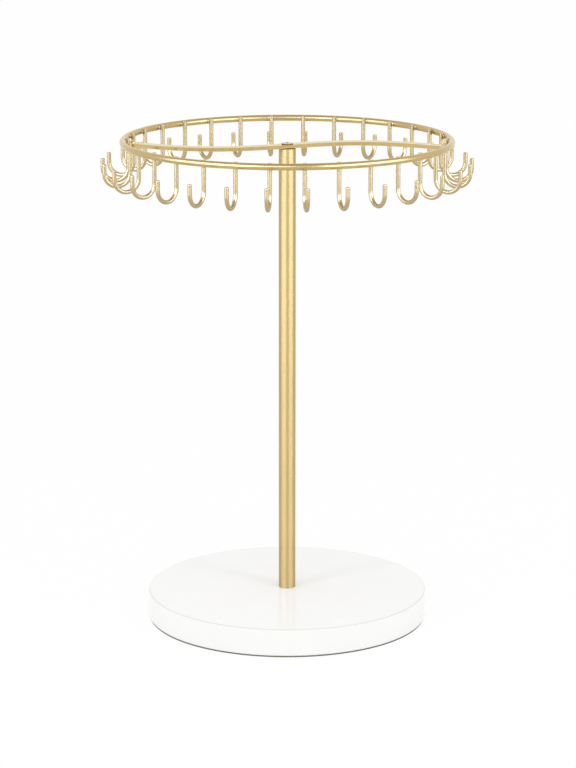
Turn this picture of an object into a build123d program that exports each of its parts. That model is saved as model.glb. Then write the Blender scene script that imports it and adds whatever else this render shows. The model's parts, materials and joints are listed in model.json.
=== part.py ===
from build123d import *
from math import cos, radians, sin
import os

# A turning necklace stand. Millimetres, +Z up, origin at the centre of the underside, -Y to the
# front. The slab, post and pivot stand still. The crossbar, ring and hooks turn about the Z axis.

# Slab and its non-slip pad
slab_diameter = 200.0
slab_thickness = 19.5
slab_top_rounding = 1.2
slab_bottom_chamfer = 0.5
pad_thickness = 1.0
pad_inset = 0.6

# Post tube and the two plugs welded into its ends
post_diameter = 12.0
post_length = 320.2
post_wall = 1.0
post_edge_break = 0.15
plug_clearance = 0.02
lower_plug_length = 20.0
upper_plug_length = 16.0
tapped_hole_spare_depth = 2.0
thread_clearance = 0.05

# Screw, spring washer and flat washer that hold the post from under the slab
base_screw_diameter = 6.0
base_screw_head_diameter = 10.0
base_screw_head_height = 4.0
base_screw_reach = 14.0
base_socket_width = 4.0
base_socket_depth = 2.4
base_screw_hole_clearance = 0.3
flat_washer_diameter = 18.0
flat_washer_thickness = 1.6
spring_washer_diameter = 9.8
spring_washer_thickness = 1.6
spring_washer_slot = 1.2
washer_bore_clearance = 0.2
pocket_side_clearance = 2.0
pocket_head_recess = 1.8

# Pivot on top of the post: a bush clamped by the top screw, and a thin washer round it
bush_diameter = 6.0
running_clearance = 0.05
crossbar_axial_play = 0.1
thrust_washer_inset = 0.5
thrust_washer_thickness = 0.5
top_screw_diameter = 4.0
top_screw_reach = 9.0
top_screw_head_diameter = 8.0
top_screw_head_height = 0.8
top_screw_head_rounding = 0.3
cross_recess_length = 4.0
cross_recess_width = 0.9
cross_recess_depth = 0.6

# Ring of round wire
ring_radius = 115.0
ring_wire = 4.6
weld_depth = 0.15

# Flat S-shaped crossbar under the ring
crossbar_width = 9.5
crossbar_thickness = 2.5
crossbar_bulge = 14.2
crossbar_bulge_reach = 48.0
crossbar_end_angle = 38.0
crossbar_hook_gap = 0.8
crossbar_end_run = 18.0
crossbar_overhang = 1.5
crossbar_edge_rounding = 0.4

# J-shaped hooks of thinner wire, welded inside the ring with their tips outward. They stand in
# opposite pairs, because each end of the crossbar passes beside one hook of the same pair.
hook_pairs = 15
hook_wire = 3.0
hook_bend_radius = 9.0
hook_drop = 29.5
hook_tip_rise = 6.9
hook_tip_rounding = 0.6
hook_top_setback = 0.4

# Heights above the table, from the pad up to the ring
slab_bottom = pad_thickness
slab_top = slab_bottom + slab_thickness
post_top = slab_top + post_length
crossbar_bottom = post_top + thrust_washer_thickness
crossbar_top = crossbar_bottom + crossbar_thickness
ring_height = crossbar_top + ring_wire / 2 - weld_depth
screw_seat = crossbar_top + crossbar_axial_play

# Heights inside the pocket under the slab, from its roof down
pocket_depth = (
    flat_washer_thickness + spring_washer_thickness + base_screw_head_height + pocket_head_recess
)
pocket_roof = slab_bottom + pocket_depth
flat_washer_bottom = pocket_roof - flat_washer_thickness
spring_washer_bottom = flat_washer_bottom - spring_washer_thickness
base_head_bottom = spring_washer_bottom - base_screw_head_height

# Radii shared by pieces that fit each other
plug_radius = post_diameter / 2 - post_wall - plug_clearance
base_tapped_radius = base_screw_diameter / 2 + thread_clearance
top_tapped_radius = top_screw_diameter / 2 + thread_clearance
base_washer_bore_radius = base_screw_diameter / 2 + washer_bore_clearance
bush_bore_radius = top_screw_diameter / 2 + washer_bore_clearance
crossbar_bore_radius = bush_diameter / 2 + running_clearance
thrust_washer_radius = post_diameter / 2 - thrust_washer_inset

# Hook wire's places, measured out from the stand's axis and up from the table
hook_count = 2 * hook_pairs
hook_pitch = 360 / hook_count
hook_leg_radius = ring_radius - ring_wire / 2 - hook_wire / 2 + weld_depth
hook_tip_radius = hook_leg_radius + 2 * hook_bend_radius
hook_leg_top = ring_height + ring_wire / 2 - hook_top_setback
hook_bend_height = ring_height - hook_drop + hook_wire / 2 + hook_bend_radius
hook_tip_top = hook_bend_height + hook_tip_rise

os.makedirs("parts", exist_ok=True)


# Slab: a polished round stone with a bored pocket underneath for the post's screw
with BuildPart() as base_slab:
    with BuildSketch(Plane.XY.offset(slab_bottom)):
        Circle(slab_diameter / 2)
    extrude(amount=slab_thickness)
    fillet(base_slab.edges().sort_by(Axis.Z)[-1], radius=slab_top_rounding)
    chamfer(base_slab.edges().sort_by(Axis.Z)[0], length=slab_bottom_chamfer)
    with BuildSketch(Plane.XY.offset(slab_bottom)):
        Circle(flat_washer_diameter / 2 + pocket_side_clearance)
    extrude(amount=pocket_depth, mode=Mode.SUBTRACT)
    with BuildSketch(Plane.XY.offset(pocket_roof)):
        Circle(base_screw_diameter / 2 + base_screw_hole_clearance)
    extrude(amount=slab_top - pocket_roof, mode=Mode.SUBTRACT)
base_slab.part.label = "base_slab"
export_step(base_slab.part, "parts/base_slab.step")

# Pad: a thin disc stuck under the slab, closing the pocket
with BuildPart() as base_pad:
    with BuildSketch(Plane.XY):
        Circle(slab_diameter / 2 - pad_inset)
    extrude(amount=pad_thickness)
base_pad.part.label = "base_pad"
export_step(base_pad.part, "parts/base_pad.step")

# Base screw: low head with a hexagon socket, shank up through the slab into the lower plug
with BuildPart() as base_screw:
    with BuildSketch(Plane.XY.offset(base_head_bottom)):
        Circle(base_screw_head_diameter / 2)
    extrude(amount=base_screw_head_height)
    with BuildSketch(Plane.XY.offset(spring_washer_bottom)):
        Circle(base_screw_diameter / 2)
    extrude(amount=slab_top + base_screw_reach - spring_washer_bottom)
    with BuildSketch(Plane.XY.offset(base_head_bottom)):
        RegularPolygon(base_socket_width / 2, 6, major_radius=False)
    extrude(amount=base_socket_depth, mode=Mode.SUBTRACT)
base_screw.part.label = "base_screw"
export_step(base_screw.part, "parts/base_screw.step")

# Flat washer against the pocket's roof
with BuildPart() as base_washer:
    with BuildSketch(Plane.XY.offset(flat_washer_bottom)):
        Circle(flat_washer_diameter / 2)
        Circle(base_washer_bore_radius, mode=Mode.SUBTRACT)
    extrude(amount=flat_washer_thickness)
base_washer.part.label = "base_washer"
export_step(base_washer.part, "parts/base_washer.step")

# Spring washer between the flat washer and the screw's head, split on one side
with BuildPart() as spring_washer:
    with BuildSketch(Plane.XY.offset(spring_washer_bottom)):
        Circle(spring_washer_diameter / 2)
        Circle(base_washer_bore_radius, mode=Mode.SUBTRACT)
        with Locations((spring_washer_diameter / 2, 0)):
            Rectangle(spring_washer_diameter, spring_washer_slot, mode=Mode.SUBTRACT)
    extrude(amount=spring_washer_thickness)
spring_washer.part.label = "spring_washer"
export_step(spring_washer.part, "parts/spring_washer.step")

# Post: a round tube that stands on the slab
with BuildPart() as post_tube:
    with BuildSketch(Plane.XY.offset(slab_top)):
        Circle(post_diameter / 2)
        Circle(post_diameter / 2 - post_wall, mode=Mode.SUBTRACT)
    extrude(amount=post_length)
    tube_ends = post_tube.faces().filter_by(GeomType.PLANE)
    chamfer([end.outer_wire().edge() for end in tube_ends], length=post_edge_break)
post_tube.part.label = "post_tube"
export_step(post_tube.part, "parts/post_tube.step")

# Lower plug: takes the base screw
with BuildPart() as lower_plug:
    with BuildSketch(Plane.XY.offset(slab_top)):
        Circle(plug_radius)
    extrude(amount=lower_plug_length)
    with BuildSketch(Plane.XY.offset(slab_top)):
        Circle(base_tapped_radius)
    extrude(amount=base_screw_reach + tapped_hole_spare_depth, mode=Mode.SUBTRACT)
lower_plug.part.label = "lower_plug"
export_step(lower_plug.part, "parts/lower_plug.step")

# Upper plug: takes the top screw, and its top lies flush with the tube's end
with BuildPart() as upper_plug:
    with BuildSketch(Plane.XY.offset(post_top - upper_plug_length)):
        Circle(plug_radius)
    extrude(amount=upper_plug_length)
    with BuildSketch(Plane.XY.offset(post_top)):
        Circle(top_tapped_radius)
    extrude(amount=-top_screw_reach - tapped_hole_spare_depth, mode=Mode.SUBTRACT)
upper_plug.part.label = "upper_plug"
export_step(upper_plug.part, "parts/upper_plug.step")

# Thrust washer: the crossbar slides on it
with BuildPart() as thrust_washer:
    with BuildSketch(Plane.XY.offset(post_top)):
        Circle(thrust_washer_radius)
        Circle(crossbar_bore_radius, mode=Mode.SUBTRACT)
    extrude(amount=thrust_washer_thickness)
thrust_washer.part.label = "thrust_washer"
export_step(thrust_washer.part, "parts/thrust_washer.step")

# Pivot bush: stands on the upper plug and is a little taller than the crossbar, so the screw
# clamps the bush and leaves the crossbar free to turn
with BuildPart() as pivot_bush:
    with BuildSketch(Plane.XY.offset(post_top)):
        Circle(bush_diameter / 2)
        Circle(bush_bore_radius, mode=Mode.SUBTRACT)
    extrude(amount=screw_seat - post_top)
pivot_bush.part.label = "pivot_bush"
export_step(pivot_bush.part, "parts/pivot_bush.step")

# Top screw: low round head with a cross recess
with BuildPart() as top_screw:
    with BuildSketch(Plane.XY.offset(screw_seat)):
        Circle(top_screw_head_diameter / 2)
    extrude(amount=top_screw_head_height)
    fillet(top_screw.edges().sort_by(Axis.Z)[-1], radius=top_screw_head_rounding)
    with BuildSketch(Plane.XY.offset(screw_seat)):
        Circle(top_screw_diameter / 2)
    extrude(amount=post_top - top_screw_reach - screw_seat)
    with BuildSketch(Plane.XY.offset(screw_seat + top_screw_head_height)):
        Rectangle(cross_recess_length, cross_recess_width)
        Rectangle(cross_recess_width, cross_recess_length)
    extrude(amount=-cross_recess_depth, mode=Mode.SUBTRACT)
top_screw.part.label = "top_screw"
export_step(top_screw.part, "parts/top_screw.step")

# Ring: one closed hoop of round wire
with BuildPart() as ring:
    with BuildSketch(Plane.XZ):
        with Locations((ring_radius, ring_height)):
            Circle(ring_wire / 2)
    revolve(axis=Axis.Z)
ring.part.label = "ring"
export_step(ring.part, "parts/ring.step")

# Crossbar: a flat strip bent to an S in plan. Each end slants past the leg of one hook and
# crosses under the ring, whose wire is let into its top by the depth of the weld. The slanting
# run is drawn too long and trimmed to the ring.
bulge_point = Vector(crossbar_bulge_reach, crossbar_bulge)
end_direction = Vector(1, 0).rotate(Axis.Z, -crossbar_end_angle)
past_hook = hook_wire / 2 + crossbar_hook_gap + crossbar_width / 2
hook_point = Vector(hook_leg_radius, 0) + end_direction.rotate(Axis.Z, -90) * past_hook
end_point = hook_point + end_direction * crossbar_end_run
with BuildPart() as s_crossbar:
    with BuildSketch(Plane.XY.offset(crossbar_bottom)):
        with BuildLine():
            Spline(
                -end_point, -hook_point, -bulge_point, (0, 0), bulge_point, hook_point, end_point
            )
        trace(line_width=crossbar_width)
        Circle(ring_radius + crossbar_overhang, mode=Mode.INTERSECT)
    extrude(amount=crossbar_thickness)
    strip_faces = s_crossbar.faces().filter_by(Axis.Z)
    fillet(strip_faces.edges(), radius=crossbar_edge_rounding)
    with BuildSketch(Plane.XY.offset(crossbar_bottom)):
        Circle(crossbar_bore_radius)
    extrude(amount=crossbar_thickness, mode=Mode.SUBTRACT)
    add(ring.part, mode=Mode.SUBTRACT)
s_crossbar.part.label = "s_crossbar"
export_step(s_crossbar.part, "parts/s_crossbar.step")

# Hooks: straight leg down from the ring, half-circle bend outward, short straight tip up.
# The ring's wire is let into each leg by the depth of the weld.
for number in range(hook_count):
    angle = radians(number * hook_pitch)
    hook_plane = Plane((0, 0, 0), x_dir=(cos(angle), sin(angle), 0), z_dir=(sin(angle), -cos(angle), 0))
    with BuildPart() as hook:
        with BuildLine(hook_plane) as wire:
            leg = Line((hook_leg_radius, hook_leg_top), (hook_leg_radius, hook_bend_height))
            bend = TangentArc(leg @ 1, (hook_tip_radius, hook_bend_height), tangent=leg % 1)
            Line(bend @ 1, (hook_tip_radius, hook_tip_top))
        with BuildSketch(Plane(wire.line @ 0, z_dir=wire.line % 0)):
            Circle(hook_wire / 2)
        sweep()
        tip_face = hook.faces().filter_by(GeomType.PLANE).sort_by(Axis.Z)[0]
        fillet(tip_face.edges(), radius=hook_tip_rounding)
        add(ring.part, mode=Mode.SUBTRACT)
    hook.part.label = f"hook_{number + 1:02d}"
    export_step(hook.part, f"parts/{hook.part.label}.step")
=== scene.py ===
import json
from math import atan2, cos, pi, radians, sin

import bmesh
import bpy
from mathutils import Matrix, Vector, noise

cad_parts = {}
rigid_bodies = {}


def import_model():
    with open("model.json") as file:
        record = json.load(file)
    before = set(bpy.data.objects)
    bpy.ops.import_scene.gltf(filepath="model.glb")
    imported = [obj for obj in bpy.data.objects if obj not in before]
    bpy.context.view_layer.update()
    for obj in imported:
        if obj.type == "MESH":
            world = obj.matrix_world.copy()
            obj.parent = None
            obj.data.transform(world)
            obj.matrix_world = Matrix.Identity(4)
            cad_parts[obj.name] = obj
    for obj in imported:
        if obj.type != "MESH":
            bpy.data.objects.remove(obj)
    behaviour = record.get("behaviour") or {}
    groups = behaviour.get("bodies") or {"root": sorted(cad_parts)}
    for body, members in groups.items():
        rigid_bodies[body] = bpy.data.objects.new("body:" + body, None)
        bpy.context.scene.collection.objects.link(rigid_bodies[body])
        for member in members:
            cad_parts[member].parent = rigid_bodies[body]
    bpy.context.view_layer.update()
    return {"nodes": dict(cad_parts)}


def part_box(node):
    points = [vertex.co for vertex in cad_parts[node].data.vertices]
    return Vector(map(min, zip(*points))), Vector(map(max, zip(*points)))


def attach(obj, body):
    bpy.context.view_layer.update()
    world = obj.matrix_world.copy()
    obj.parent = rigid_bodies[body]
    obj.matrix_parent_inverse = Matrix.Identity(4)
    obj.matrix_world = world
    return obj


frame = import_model()

# Lengths are in metres and angles in degrees. A brightness of 1 is the white of the background.
WHITE = (1.0, 1.0, 1.0, 1.0)

# The photograph's camera: in front of the stand and above it, looking down through a long lens
CAMERA_DISTANCE = 1.981
CAMERA_HEIGHT = 0.6442
CAMERA_PITCH = 13.43
CAMERA_ROLL = 0.03
CAMERA_YAW = 0.017
CAMERA_LENS_MM = 133.8
CAMERA_SENSOR_MM = 36.0
CAMERA_NEAR = 0.05
CAMERA_FAR = 60.0

# How far every lamp stands from the post
LAMP_DISTANCE = 0.90

# Light that falls on everything: an even white sky and a soft panel on each side in front. The
# panels show in the gloss of the metal alone, with a brightness of their own.
SKY_LIGHT = 0.925
PANEL_AZIMUTH = 50.0
PANEL_FOOT = 0.0
PANEL_TOP = 0.90
PANEL_WIDTH = 0.24
PANEL_BRIGHTNESS = 2.3
PANEL_SHINE = 1.6

# Cool white softboxes that show only in the gloss of the post, its screw and washer, the wires and
# their welds. The ring's smoother plating shows a share of their brightness.
BOX_COLOUR = (0.79, 1.0, 1.52)
SIDE_AZIMUTH = 53.0
SIDE_FOOT = 0.26
SIDE_TOP = 1.10
SIDE_WIDTH = 1.08
SIDE_BRIGHTNESS = 4.1
FRONT_AZIMUTH = -16.0
FRONT_FOOT = 0.52
FRONT_TOP = 0.95
FRONT_WIDTH = 0.66
FRONT_BRIGHTNESS = 3.9
RING_SHARE = 0.60

# The sky as gloss shows it: white low down, and dulling to a ceiling between two heights, where 0
# is level and 1 is straight up
CEILING = 0.70
CEILING_STARTS = 0.50
CEILING_FULL = 0.88

# The floor shows as the background's white, with a share of paper that keeps the shadows
FLOOR_SIZE = 24.0
FLOOR_PAPER = (249, 249, 248)
FLOOR_WHITE_SHARE = 0.92

# Places on the frame that the weld beads are worked out from. The first hook stands at +X, so its
# box is as wide in Y as its wire is thick.
ring_low, ring_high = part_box("ring")
ring_wire_radius = (ring_high.z - ring_low.z) / 2
ring_height = (ring_high.z + ring_low.z) / 2
ring_radius = ring_high.x - ring_wire_radius
hook_low, hook_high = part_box("hook_01")
hook_leg_outside = hook_low.x + hook_high.y - hook_low.y
hook_names = sorted(name for name in frame["nodes"] if name.startswith("hook_"))
crossbar_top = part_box("s_crossbar")[1].z

# Weld beads that join the hooks and the crossbar's ends to the ring
HOOK_BEAD_ACROSS = 0.0022
HOOK_BEAD_RISE = 0.0019
HOOK_BEAD_DEPTH = 0.0006
HOOK_BEAD_SUBDIVISIONS = 3
BAR_BEAD_RADIUS = 0.0006
BAR_BEAD_STEPS = 24
BAR_BEAD_SIDES = 10

# A crossbar bead's middle lies a share of the way out to the wire's side, and a share of its own
# radius above the crossbar. Its ends keep a share of that radius.
BAR_BEAD_OUT = 0.8
BAR_BEAD_LIFT = 0.3
BAR_BEAD_END = 0.25

# How much the beads swell, how many swells there are to the metre, how far apart in the noise the
# beads are read, and the radius of the sphere on which a hook's bead reads it
BEAD_UNEVENNESS = 0.12
SWELLS_PER_METRE = 700
SWELL_SHIFT = 1.7
HOOK_SWELL_RADIUS = 0.003

# Noise lies mostly between these two values
NOISE_LOW = 0.3
NOISE_HIGH = 0.7

# The colour sockets of a Mix node, which share their names with its other sockets
MIX_FIRST = 6
MIX_SECOND = 7
MIX_RESULT = 2

# Satin gold: its brushing, the share of its mottle that is slow clouds, and its lacquer. The turn
# is a part of a full circle.
BRUSHED_DARKER = 0.96
BRUSHED_DEPTH = 0.00001
BRUSHED_STRENGTH = 0.15
BRUSHED_ROUGHNESS = 0.03
BRUSHED_TURN = 0.25
GOLD_CLOUD_SHARE = 0.6
COAT_ROUGHNESS = 0.2

# The share of the stone's colour that its fine grain changes at most
STONE_GRAIN_SHARE = 0.4

# Turning marks and weld spots. Turning marks are pressed flat along Z.
MARKS_PER_METRE = 900.0
TURNED = (1.0, 1.0, 6.0)
TURNED_ROUGHER = 0.12


# Node trees

class Tree:
    """The nodes of a material or a world, made one call at a time."""

    def __init__(self, owner, output):
        owner.use_nodes = True
        self.owner = owner
        self.nodes = owner.node_tree.nodes
        self.links = owner.node_tree.links
        self.nodes.clear()
        self.output = self.nodes.new(output)

    def connect(self, source, target):
        """Link a socket to the target, or write a plain value into it."""
        if isinstance(source, bpy.types.NodeSocket):
            self.links.new(source, target)
        else:
            target.default_value = source

    def coordinates(self, kind):
        return self.nodes.new("ShaderNodeTexCoord").outputs[kind]

    def stretched(self, scale):
        """The object's own coordinates, times scale along X, Y and Z."""
        mapping = self.nodes.new("ShaderNodeMapping")
        mapping.inputs["Scale"].default_value = scale
        self.links.new(self.coordinates("Object"), mapping.inputs["Vector"])
        return mapping.outputs["Vector"]

    def height(self, direction):
        """How far a direction points up: 1 straight up, 0 level and -1 straight down."""
        axes = self.nodes.new("ShaderNodeSeparateXYZ")
        self.links.new(direction, axes.inputs["Vector"])
        return axes.outputs["Z"]

    def noise(self, scale, detail, roughness=0.5, vector=None):
        """Noise with scale features to the metre."""
        node = self.nodes.new("ShaderNodeTexNoise")
        node.inputs["Scale"].default_value = scale
        node.inputs["Detail"].default_value = detail
        node.inputs["Roughness"].default_value = roughness
        self.links.new(vector or self.coordinates("Object"), node.inputs["Vector"])
        return node.outputs["Fac"]

    def spread(self, value, to_low, to_high, low=NOISE_LOW, high=NOISE_HIGH, curve="LINEAR"):
        """Carry what lies from low to high onto to_low to to_high, and hold the rest at the ends."""
        node = self.nodes.new("ShaderNodeMapRange")
        node.interpolation_type = curve
        self.connect(value, node.inputs["Value"])
        limits = {"From Min": low, "From Max": high, "To Min": to_low, "To Max": to_high}
        for name, limit in limits.items():
            self.connect(limit, node.inputs[name])
        return node.outputs["Result"]

    def mix(self, factor, first, second):
        node = self.nodes.new("ShaderNodeMix")
        node.data_type = "RGBA"
        self.connect(factor, node.inputs["Factor"])
        self.connect(first, node.inputs[MIX_FIRST])
        self.connect(second, node.inputs[MIX_SECOND])
        return node.outputs[MIX_RESULT]

    def math(self, operation, first, second):
        node = self.nodes.new("ShaderNodeMath")
        node.operation = operation
        self.connect(first, node.inputs[0])
        self.connect(second, node.inputs[1])
        return node.outputs[0]

    def bump(self, height, distance, strength):
        node = self.nodes.new("ShaderNodeBump")
        node.inputs["Distance"].default_value = distance
        node.inputs["Strength"].default_value = strength
        self.links.new(height, node.inputs["Height"])
        return node.outputs["Normal"]

    def seen_directly(self):
        """1 for camera, glossy and transmission rays, and 0 for the rays that carry diffuse light."""
        path = self.nodes.new("ShaderNodeLightPath").outputs
        seen = self.math("MAXIMUM", path["Is Camera Ray"], path["Is Glossy Ray"])
        return self.math("MAXIMUM", seen, path["Is Transmission Ray"])

    def principled(self, **sockets):
        """The Principled shader, its sockets given by name with _ for a space."""
        node = self.nodes.new("ShaderNodeBsdfPrincipled")
        for name, value in sockets.items():
            self.connect(value, node.inputs[name.replace("_", " ")])
        self.links.new(node.outputs["BSDF"], self.output.inputs["Surface"])


def material_tree(name):
    return Tree(bpy.data.materials.new(name), "ShaderNodeOutputMaterial")


def rgb(red, green, blue):
    """A colour written in the usual 0-255 sRGB values, as the linear colour that shaders take."""
    values = [channel / 255 for channel in (red, green, blue)]
    return tuple(v / 12.92 if v <= 0.04045 else ((v + 0.055) / 1.055) ** 2.4 for v in values) + (1.0,)


# Materials

def satin_gold(name, shade, roughness, edge, coat, coat_ior, brushed=(1.0, 1.0, 1.0), anisotropic=0.0):
    """Satin champagne gold under thin lacquer.

    Its fine brushing runs along the axes on which brushed is small. Edge is its tint at a grazing
    angle, and anisotropic draws its highlights out one way.
    """
    tree = material_tree(name)
    dark = [channel * BRUSHED_DARKER for channel in shade]
    drift = tree.noise(scale=22.0, detail=3.0)
    grain = tree.noise(scale=2600.0, detail=2.0, vector=tree.stretched(brushed))
    clouds = tree.spread(drift, 0.0, GOLD_CLOUD_SHARE, low=0.35, high=0.65)
    mottle = tree.math("ADD", clouds, tree.spread(grain, 0.0, 1.0 - GOLD_CLOUD_SHARE))
    tree.principled(
        Base_Color=tree.mix(mottle, rgb(*shade), rgb(*dark)),
        Metallic=1.0,
        Roughness=tree.spread(grain, roughness - BRUSHED_ROUGHNESS, roughness + BRUSHED_ROUGHNESS),
        Specular_Tint=edge + (1.0,),
        Normal=tree.bump(grain, distance=BRUSHED_DEPTH, strength=BRUSHED_STRENGTH),
        Coat_Weight=coat,
        Coat_Roughness=COAT_ROUGHNESS,
        Coat_IOR=coat_ior,
        Anisotropic=anisotropic,
        Anisotropic_Rotation=BRUSHED_TURN,
    )
    return tree.owner


def polished_stone(name):
    """White satin-polished stone with very faint clouds, and painted shade that greys its rounded rim
    and side.
    """
    white = rgb(249, 249, 249)
    cloud_white = rgb(247, 247, 247)
    grain_white = rgb(245, 245, 244)
    # Painted shade: the side and the rounded rim are coloured greyer than the top
    stone_side_shade = rgb(241, 241, 240)
    stone_rim_shade = rgb(224, 223, 217)
    tree = material_tree(name)
    clouds = tree.noise(scale=18.0, detail=5.0, roughness=0.55)
    grain = tree.noise(scale=1400.0, detail=2.0)
    cloudy = tree.mix(tree.spread(clouds, 0.0, 1.0), white, cloud_white)
    grained = tree.mix(tree.spread(grain, 0.0, STONE_GRAIN_SHARE), cloudy, grain_white)
    up = tree.height(tree.coordinates("Normal"))
    # Painted shade on the side, where the normal points little up
    side_shaded = tree.mix(tree.spread(up, 1.0, 0.0, low=0.1, high=0.4), grained, stone_side_shade)
    # Painted shade on the rounded rim, between the side and the top
    above_side = tree.spread(up, 0.0, 1.0, low=0.15, high=0.5)
    below_top = tree.spread(up, 1.0, 0.0, low=0.80, high=0.97)
    tree.principled(
        Base_Color=tree.mix(tree.math("MULTIPLY", above_side, below_top), side_shaded, stone_rim_shade),
        Roughness=tree.spread(clouds, 0.13, 0.18),
        Normal=tree.bump(grain, distance=0.000004, strength=0.2),
        IOR=1.2,
    )
    return tree.owner


def foam(name):
    """Dark closed-cell foam."""
    cell_dark = rgb(98, 95, 86)
    cell_light = rgb(120, 117, 107)
    tree = material_tree(name)
    cells = tree.noise(scale=1800.0, detail=3.0)
    tree.principled(
        Base_Color=tree.mix(tree.spread(cells, 0.0, 1.0, low=0.35, high=0.65), cell_dark, cell_light),
        Roughness=0.85,
        Normal=tree.bump(cells, distance=0.0002, strength=0.6),
    )
    return tree.owner


def bare_metal(name, light, dark, roughness):
    """A small machined metal piece, rougher where its turning marks are dark."""
    tree = material_tree(name)
    marks = tree.noise(MARKS_PER_METRE, detail=3.0, vector=tree.stretched(TURNED))
    tree.principled(
        Base_Color=tree.mix(tree.spread(marks, 0.0, 1.0), rgb(*light), rgb(*dark)),
        Metallic=1.0,
        Roughness=tree.spread(marks, roughness, roughness + TURNED_ROUGHER),
        Normal=tree.bump(marks, distance=0.00003, strength=0.4),
    )
    return tree.owner


def nickel_head(name):
    """A bright nickel screw head whose rim is painted dark brown, as painted shade and a painted dark
    reflection.
    """
    nickel = rgb(226, 224, 214)
    dull_nickel = rgb(204, 202, 192)
    # Painted shade and reflection: the head's rim, where the normal points little up, is coloured dark
    # brown
    screw_rim_shade = rgb(132, 98, 54)
    tree = material_tree(name)
    marks = tree.noise(MARKS_PER_METRE, detail=3.0)
    top = tree.mix(tree.spread(marks, 0.0, 1.0), nickel, dull_nickel)
    up = tree.height(tree.coordinates("Normal"))
    tree.principled(
        Base_Color=tree.mix(tree.spread(up, 1.0, 0.0, low=0.35, high=0.75), top, screw_rim_shade),
        Metallic=1.0,
        Roughness=tree.spread(marks, 0.26, 0.36),
        Normal=tree.bump(marks, distance=0.00001, strength=0.3),
    )
    return tree.owner


def weld(name):
    """Plated weld metal: the wire's gold with small rough brown spots."""
    plated = rgb(196, 170, 120)
    burnt = rgb(128, 96, 58)
    tree = material_tree(name)
    spots = tree.noise(MARKS_PER_METRE, detail=3.0)
    tree.principled(
        Base_Color=tree.mix(tree.spread(spots, 0.0, 1.0, low=0.5, high=0.68), plated, burnt),
        Metallic=1.0,
        Roughness=tree.spread(spots, 0.38, 0.55),
        Normal=tree.bump(spots, distance=0.00006, strength=0.5),
    )
    return tree.owner


# Brushing runs round the post, along the strip, and no one way on the bent wires
# All four golds are one plating. Their shades differ as painted light: the strip's is painted lighter,
# and the hooks' a little darker and less yellow.
gold_post = satin_gold(
    "satin_gold_post",
    shade=(199, 170, 106),
    roughness=0.42,
    edge=(0.62, 0.47, 0.24),
    coat=0.8,
    coat_ior=1.6,
    brushed=(0.25, 0.25, 1.0),
    anisotropic=0.85,
)
gold_ring = satin_gold(
    "satin_gold_ring",
    shade=(197, 169, 106),
    roughness=0.26,
    edge=(0.90, 0.85, 0.60),
    coat=0.9,
    coat_ior=1.5,
)
# The hooks' shade is painted a little darker and less yellow than the post's
gold_hook = satin_gold(
    "satin_gold_hook",
    shade=(188, 164, 114),
    roughness=0.36,
    edge=(0.60, 0.50, 0.30),
    coat=0.9,
    coat_ior=1.6,
)
# The strip's shade is painted lighter, for the softbox light it doesn't show
gold_strip = satin_gold(
    "satin_gold_strip",
    shade=(214, 185, 119),
    roughness=0.20,
    edge=(0.97, 1.0, 0.84),
    coat=0.6,
    coat_ior=1.5,
    brushed=(0.3, 1.0, 1.0),
)
weld_metal = weld("weld_metal")
finishes = {
    "base_slab": polished_stone("white_stone"),
    "base_pad": foam("pad_foam"),
    "base_screw": bare_metal("zinc_screw", (198, 199, 197), (168, 170, 168), roughness=0.34),
    "base_washer": bare_metal("zinc_washer", (192, 194, 192), (160, 162, 160), roughness=0.38),
    "spring_washer": bare_metal("zinc_spring", (186, 188, 186), (150, 152, 150), roughness=0.36),
    "post_tube": gold_post,
    "lower_plug": bare_metal("plug_steel", (176, 176, 174), (140, 140, 138), roughness=0.4),
    "upper_plug": bare_metal("plug_steel_top", (176, 176, 174), (140, 140, 138), roughness=0.4),
    # The thrust washer's dark bronze is partly painted shade: it also stands for the shadow line where
    # the crossbar sits on the post
    "thrust_washer": bare_metal("washer_bronze", (150, 116, 66), (120, 90, 48), roughness=0.5),
    "pivot_bush": bare_metal("bush_brass", (206, 176, 106), (176, 146, 82), roughness=0.3),
    "top_screw": nickel_head("screw_head"),
    "ring": gold_ring,
    "s_crossbar": gold_strip,
    **{name: gold_hook for name in hook_names},
}


def finish_node(name, material):
    node = frame["nodes"][name]
    node.data.materials.clear()
    node.data.materials.append(material)


for node_name, node_material in finishes.items():
    finish_node(node_name, node_material)


# Weld beads

def uneven(point, seed):
    """A slow random swell between -1 and 1, the same on every run."""
    return noise.noise(point * SWELLS_PER_METRE + Vector((seed, seed * SWELL_SHIFT, 0)))


def add_piece(name, mesh_maker, material):
    mesh = bpy.data.meshes.new(name)
    work = bmesh.new()
    mesh_maker(work)
    bmesh.ops.recalc_face_normals(work, faces=work.faces)
    for face in work.faces:
        face.smooth = True
    work.to_mesh(mesh)
    work.free()
    mesh.materials.append(material)
    piece = bpy.data.objects.new(name, mesh)
    bpy.context.scene.collection.objects.link(piece)
    return piece


def hook_beads(work):
    """One flat bead in the crevice between each hook's leg and the ring."""
    centre_radius = (hook_leg_outside + ring_radius - ring_wire_radius) / 2
    for number in range(len(hook_names)):
        turn = Matrix.Rotation(2 * pi * number / len(hook_names), 4, "Z")
        place = Matrix.Translation((centre_radius, 0, ring_height))
        sphere = bmesh.ops.create_icosphere(work, subdivisions=HOOK_BEAD_SUBDIVISIONS, radius=1.0)
        for vert in sphere["verts"]:
            swell = 1 + BEAD_UNEVENNESS * uneven(vert.co * HOOK_SWELL_RADIUS, number)
            size = Vector((HOOK_BEAD_DEPTH, HOOK_BEAD_ACROSS, HOOK_BEAD_RISE)) * swell
            vert.co = turn @ place @ Vector(a * b for a, b in zip(vert.co, size))


def crossbar_end_angles():
    """The first and last angle at which the ring's wire lies over the crossbar's +X end."""
    verts = (v.co for v in frame["nodes"]["s_crossbar"].data.vertices)
    under_wire = (co for co in verts if co.x > 0 and co.xy.length > ring_radius - ring_wire_radius)
    angles = [atan2(co.y, co.x) for co in under_wire]
    return min(angles), max(angles)


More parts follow.
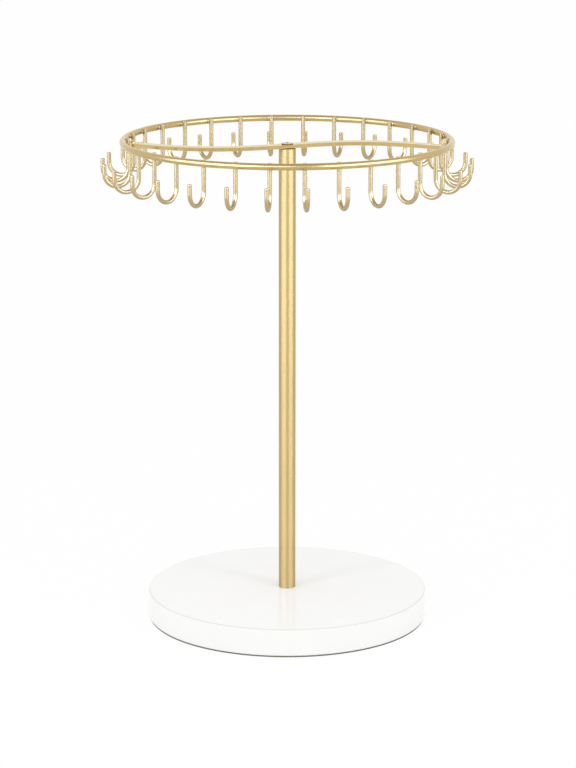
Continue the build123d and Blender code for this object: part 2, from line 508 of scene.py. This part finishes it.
def circle_of_verts(work, middle, outward, radius):
    """Vertices on an upright circle round middle, from outward round over the top."""
    angles = (2 * pi * corner / BAR_BEAD_SIDES for corner in range(BAR_BEAD_SIDES))
    directions = (outward * cos(angle) + Vector((0, 0, sin(angle))) for angle in angles)
    return [work.verts.new(middle + direction * radius) for direction in directions]


def skin(work, circles):
    """Faces from each circle of vertices to the next, and one over each end."""
    for low, high in zip(circles, circles[1:]):
        for corner in range(BAR_BEAD_SIDES):
            following = (corner + 1) % BAR_BEAD_SIDES
            work.faces.new((low[corner], low[following], high[following], high[corner]))
    work.faces.new(circles[0])
    work.faces.new(circles[-1])


def bar_beads(work):
    """A bead on each side of the ring's wire, along its crossing with each end of the crossbar."""
    first, last = crossbar_end_angles()
    lift = Vector((0, 0, crossbar_top + BAR_BEAD_RADIUS * BAR_BEAD_LIFT))
    for side in (-1, 1):
        radius = ring_radius + side * (ring_wire_radius - BAR_BEAD_RADIUS) * BAR_BEAD_OUT
        for end in (0, pi):
            circles = []
            for step in range(BAR_BEAD_STEPS + 1):
                share = step / BAR_BEAD_STEPS
                angle = end + first + (last - first) * share
                outward = Vector((cos(angle), sin(angle), 0))
                middle = outward * radius + lift
                swell = 1 + 2 * BEAD_UNEVENNESS * uneven(middle, side)
                thick = BAR_BEAD_RADIUS * swell * max(sin(pi * share), BAR_BEAD_END)
                circles.append(circle_of_verts(work, middle, outward, thick))
            skin(work, circles)


weld_pieces = []
for piece_name, maker in (("hook_welds", hook_beads), ("crossbar_welds", bar_beads)):
    beads = add_piece(piece_name, maker, weld_metal)
    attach(beads, "ring_frame")
    weld_pieces.append(beads)


# Camera

def make_camera():
    data = bpy.data.cameras.new("camera")
    data.sensor_width = CAMERA_SENSOR_MM
    data.lens = CAMERA_LENS_MM
    data.clip_start = CAMERA_NEAR
    data.clip_end = CAMERA_FAR
    camera = bpy.data.objects.new("camera", data)
    bpy.context.scene.collection.objects.link(camera)
    turn = Matrix.Rotation(-radians(CAMERA_YAW), 4, "Z")
    tilt = Matrix.Rotation(radians(90 - CAMERA_PITCH), 4, "X")
    roll = Matrix.Rotation(radians(CAMERA_ROLL), 4, "Z")
    camera.matrix_world = Matrix.Translation((0, -CAMERA_DISTANCE, CAMERA_HEIGHT)) @ turn @ tilt @ roll
    bpy.context.scene.camera = camera


# World, floor and lamps

def make_world():
    """A white sky that lights everything at one strength and shows at another."""
    tree = Tree(bpy.data.worlds.new("studio"), "ShaderNodeOutputWorld")
    height = tree.height(tree.coordinates("Generated"))
    shown = tree.spread(height, 1.0, CEILING, low=CEILING_STARTS, high=CEILING_FULL, curve="SMOOTHSTEP")
    background = tree.nodes.new("ShaderNodeBackground")
    background.inputs["Color"].default_value = WHITE
    strength = tree.spread(tree.seen_directly(), SKY_LIGHT, shown, low=0.0, high=1.0)
    tree.links.new(strength, background.inputs["Strength"])
    tree.links.new(background.outputs["Background"], tree.output.inputs["Surface"])
    bpy.context.scene.world = tree.owner


def make_floor():
    mesh = bpy.data.meshes.new("floor")
    half = FLOOR_SIZE / 2
    corners = [(-half, -half, 0), (half, -half, 0), (half, half, 0), (-half, half, 0)]
    mesh.from_pydata(corners, [], [(0, 1, 2, 3)])
    floor = bpy.data.objects.new("floor", mesh)
    bpy.context.scene.collection.objects.link(floor)
    tree = material_tree("floor_white")
    paper = tree.nodes.new("ShaderNodeBsdfDiffuse")
    paper.inputs["Color"].default_value = rgb(*FLOOR_PAPER)
    glow = tree.nodes.new("ShaderNodeEmission")
    glow.inputs["Color"].default_value = WHITE
    blend = tree.nodes.new("ShaderNodeMixShader")
    share = tree.math("MULTIPLY", tree.seen_directly(), FLOOR_WHITE_SHARE)
    tree.links.new(share, blend.inputs["Fac"])
    tree.links.new(paper.outputs["BSDF"], blend.inputs[1])
    tree.links.new(glow.outputs["Emission"], blend.inputs[2])
    tree.links.new(blend.outputs["Shader"], tree.output.inputs["Surface"])
    mesh.materials.append(tree.owner)


def pieces(name, names, others):
    """A collection for the lamps that only some pieces show. It isn't part of the scene."""
    collection = bpy.data.collections.new(name)
    for piece in [frame["nodes"][node] for node in names] + others:
        collection.objects.link(piece)
    return collection


def make_lamp(name, azimuth, foot, top, width, brightness, shown_in=None):
    """An upright soft panel that faces the post, in front of it and turned by azimuth towards +X.

    Brightness is its radiance, and its watts follow from that and its area. A lamp that has a
    shown_in collection shows only in the gloss of its pieces. One that has none lights every piece,
    and shows in no gloss.
    """
    outward = Vector((sin(radians(azimuth)), -cos(radians(azimuth)), 0))
    up = Vector((0, 0, 1))
    data = bpy.data.lights.new(name, "AREA")
    data.shape = "RECTANGLE"
    data.size = width
    data.size_y = top - foot
    data.energy = brightness * pi * width * (top - foot)
    lamp = bpy.data.objects.new(name, data)
    bpy.context.scene.collection.objects.link(lamp)
    turn = Matrix((outward.cross(up), up, outward)).transposed().to_4x4()
    lamp.matrix_world = Matrix.Translation(outward * LAMP_DISTANCE + up * (foot + top) / 2) @ turn
    lamp.visible_camera = False
    lamp.visible_diffuse = shown_in is None
    lamp.visible_glossy = shown_in is not None
    if shown_in:
        lamp.light_linking.receiver_collection = shown_in
    return lamp


def make_box(name, azimuth, foot, top, width, brightness, shares):
    """A softbox. Each collection shows its own share of the brightness in its gloss."""
    for shown_in, share in shares:
        box_name = f"box_{name}_{shown_in.name}"
        lamp = make_lamp(box_name, azimuth, foot, top, width, brightness * share, shown_in)
        lamp.data.color = BOX_COLOUR


def make_lamps():
    satin = pieces("satin", ["post_tube", "thrust_washer", "top_screw"] + hook_names, weld_pieces)
    smooth = pieces("smooth", ["ring"], [])
    metal = pieces("metal", ["s_crossbar", "ring"], list(satin.objects))
    shares = ((satin, 1.0), (smooth, RING_SHARE))
    for side, name in ((-1, "left"), (1, "right")):
        panel = (side * PANEL_AZIMUTH, PANEL_FOOT, PANEL_TOP, PANEL_WIDTH)
        make_lamp(f"panel_{name}", *panel, PANEL_BRIGHTNESS)
        make_lamp(f"panel_gloss_{name}", *panel, PANEL_SHINE, metal)
        side_box = (side * SIDE_AZIMUTH, SIDE_FOOT, SIDE_TOP, SIDE_WIDTH)
        make_box(f"side_{name}", *side_box, SIDE_BRIGHTNESS, shares)
    make_box("front", FRONT_AZIMUTH, FRONT_FOOT, FRONT_TOP, FRONT_WIDTH, FRONT_BRIGHTNESS, shares)


make_camera()
make_world()
make_floor()
make_lamps()
bpy.context.scene.view_settings.view_transform = "Standard"
